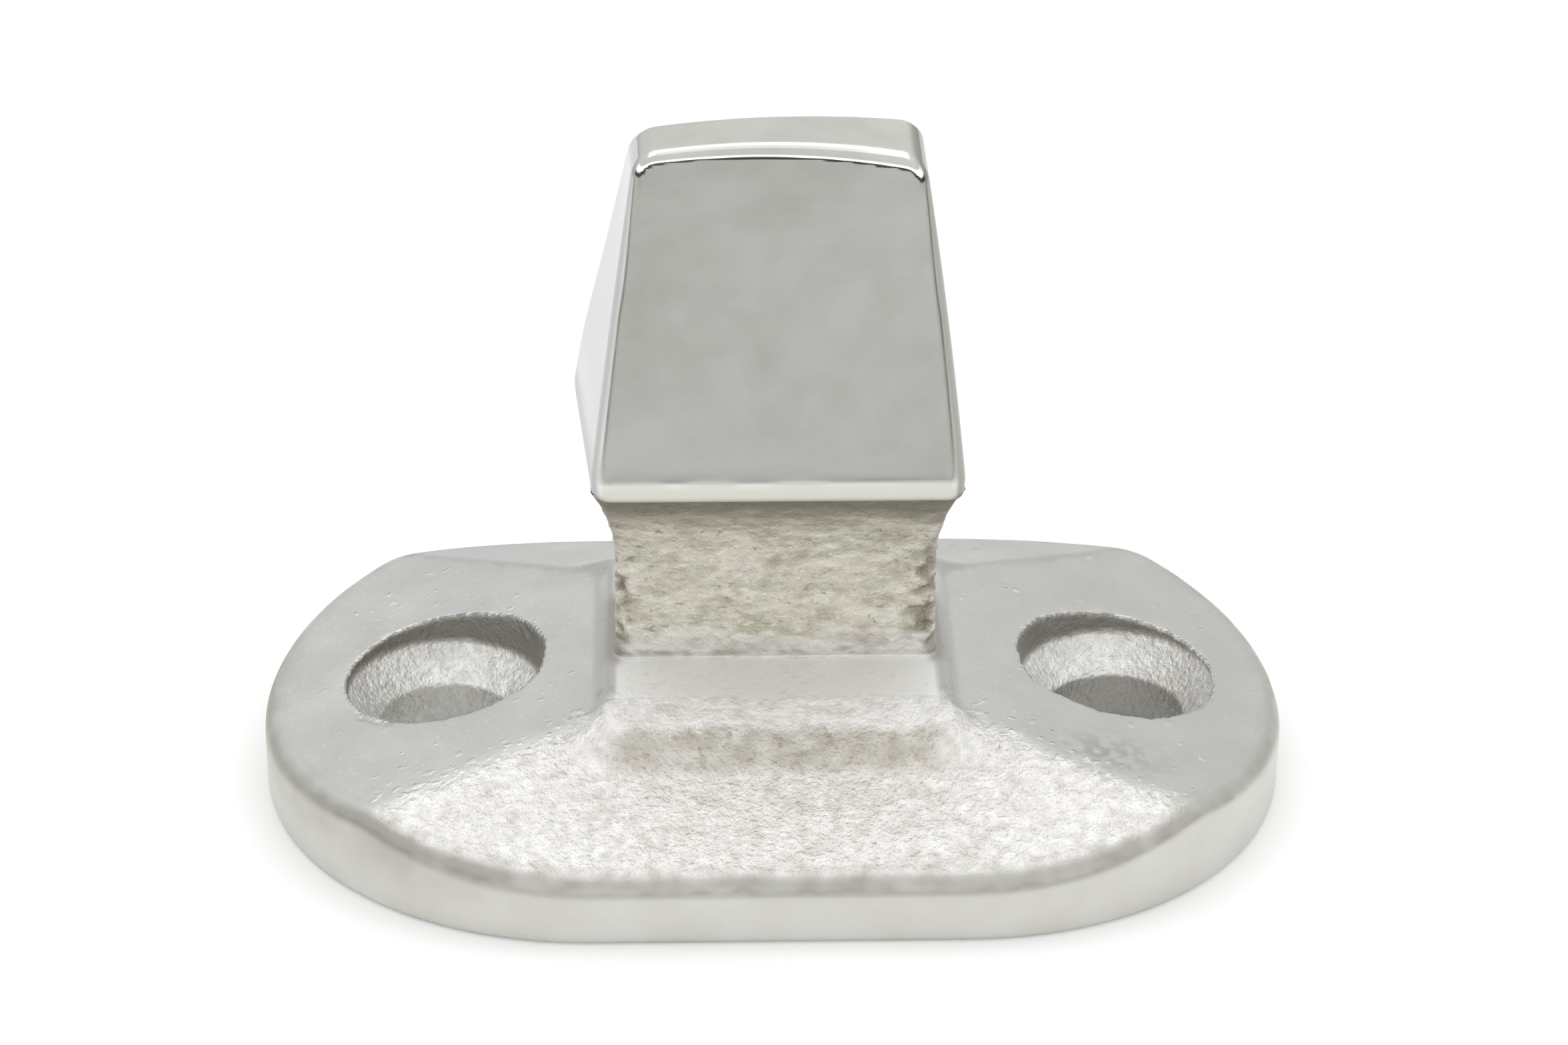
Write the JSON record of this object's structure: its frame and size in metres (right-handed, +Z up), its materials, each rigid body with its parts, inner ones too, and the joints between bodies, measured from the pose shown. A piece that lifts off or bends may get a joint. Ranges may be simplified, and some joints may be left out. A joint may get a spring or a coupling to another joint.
{
  "type": "cleat horn",
  "caption": "Cast boat-deck horn: rounded base plate with two countersunk lugs, a raised ledge, a waisted neck and a polished wedge head.",
  "frame": {"origin": "middle of the underside of the base plate; the pair of screw holes is centred 0.4 mm to the right of it", "axes": "+X along the base plate through both screw holes, -Y the side seen first (front), +Z up from the deck"},
  "size_m": [0.05, 0.033, 0.034],
  "materials": {
    "satin_cast": "satin belt-finished casting",
    "rough_cast": "rough as-cast",
    "polished": "mirror polished"
  },
  "bodies": {
    "root": {"left_lug": "satin_cast", "right_lug": "satin_cast", "pad": "rough_cast", "neck": "rough_cast", "horn_head": "polished"}
  },
  "joints": []
}
